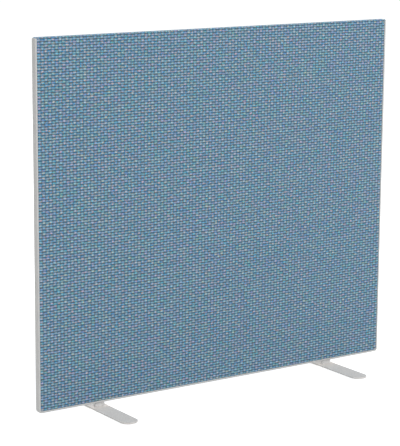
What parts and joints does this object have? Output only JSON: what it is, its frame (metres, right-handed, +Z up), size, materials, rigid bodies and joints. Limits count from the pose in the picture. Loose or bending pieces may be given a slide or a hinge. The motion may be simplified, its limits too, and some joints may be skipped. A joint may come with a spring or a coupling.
{
  "type": "acoustic divider screen",
  "caption": "Free-standing sound-absorbing screen: a wide cloth-covered upright panel with grey edge trims on flat bolted cross feet.",
  "frame": {"origin": "on the floor, under the middle of the panel", "axes": "+X along the panel's width to the right as seen from the front, +Y from the front face to the back face, +Z up"},
  "size_m": [1.4, 0.42, 1.22],
  "materials": {
    "foot_steel": "silver-grey powder coat, satin",
    "spacer_steel": "silver-grey powder coat, satin",
    "pad_rubber": "matt",
    "bolt_steel": "zinc plated",
    "insert_brass": "turned",
    "trim_plastic": "light grey extrusion, fine satin",
    "cover_cloth": "blue hopsack weave with pale slubs",
    "staple_wire": "galvanised wire",
    "wadding": "needled felt",
    "core_fibre": "pressed recycled fibre",
    "frame_wood": "planed softwood",
    "dowel_wood": "fluted beech"
  },
  "bodies": {
    "root": {"foot_plate_left": "foot_steel", "foot_plate_right": "foot_steel", "foot_spacer_left": "spacer_steel", "foot_spacer_right": "spacer_steel", "foot_pads_left": "pad_rubber", "foot_pads_right": "pad_rubber", "foot_bolts_left": "bolt_steel", "foot_bolts_right": "bolt_steel", "threaded_inserts": "insert_brass", "edge_trim_left": "trim_plastic", "edge_trim_right": "trim_plastic", "edge_trim_bottom": "trim_plastic", "corner_trim_left": "trim_plastic", "corner_trim_right": "trim_plastic", "cloth_cover": "cover_cloth", "cover_staples": "staple_wire", "wadding_front": "wadding", "wadding_back": "wadding", "core_slab_left": "core_fibre", "core_slab_centre": "core_fibre", "core_slab_right": "core_fibre", "frame_stile_left": "frame_wood", "frame_stile_right": "frame_wood", "frame_rail_top": "frame_wood", "frame_rail_bottom": "frame_wood", "frame_mullion_left": "frame_wood", "frame_mullion_right": "frame_wood", "frame_dowels": "dowel_wood"}
  },
  "joints": []
}
